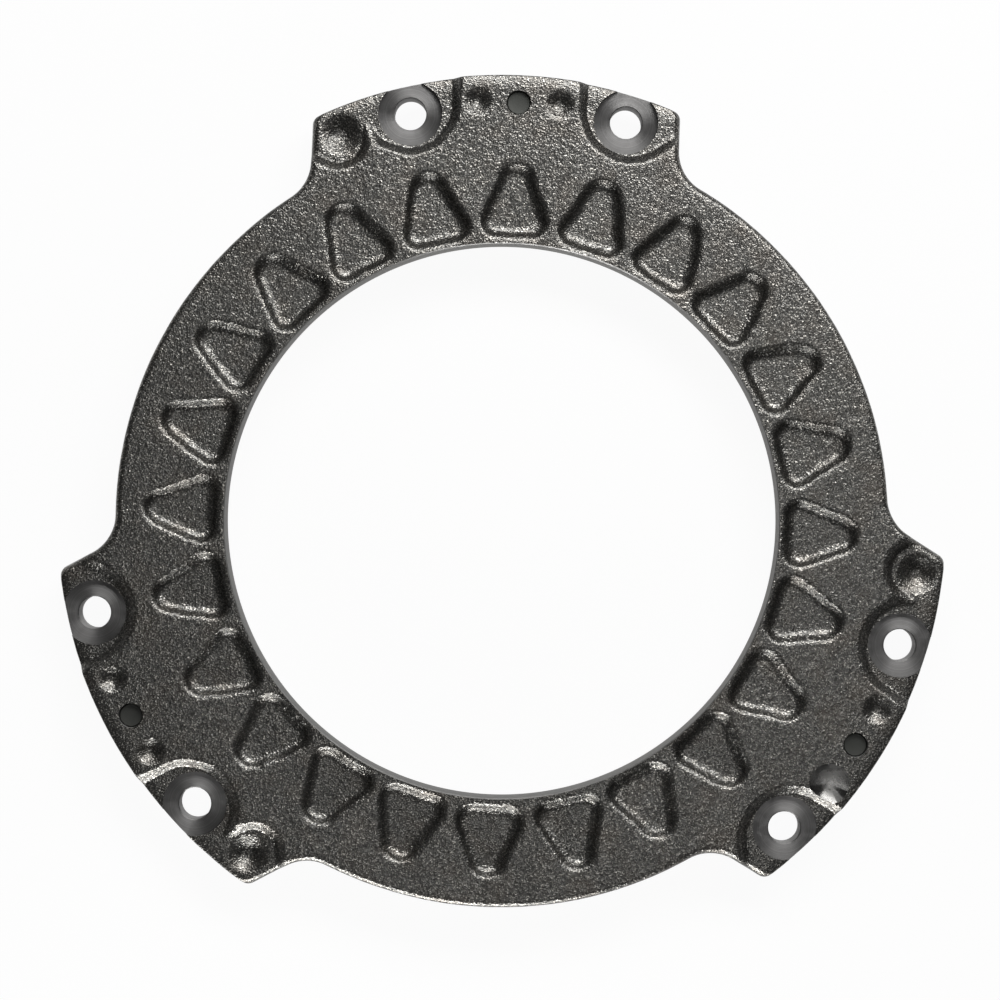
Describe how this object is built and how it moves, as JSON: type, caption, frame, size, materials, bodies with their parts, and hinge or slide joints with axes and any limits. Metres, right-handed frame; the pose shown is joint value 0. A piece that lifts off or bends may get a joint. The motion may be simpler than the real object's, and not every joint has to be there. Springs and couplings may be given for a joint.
{
  "type": "clutch housing cover",
  "caption": "Cast iron clutch cover ring with lobes for its screws, pressed dowels, spotfaced holes and cast pockets round a machined bore.",
  "frame": {"origin": "bore axis in the plane of the machined mounting face", "axes": "+Z along the bore axis, from the mounting face to the cast face that carries the screw heads; +Y through the middle of the lobe that the picture shows on top; +X to the right of it"},
  "size_m": [0.2542, 0.2393, 0.017],
  "materials": {
    "cast_iron": "sand-cast skin, dark and gritty, with machined spotfaces, bore and mounting face",
    "dowel_steel": "ground and blackened"
  },
  "bodies": {
    "root": {"cover_casting": "cast_iron", "top_locating_dowel": "dowel_steel", "left_locating_dowel": "dowel_steel", "right_locating_dowel": "dowel_steel"}
  },
  "joints": []
}
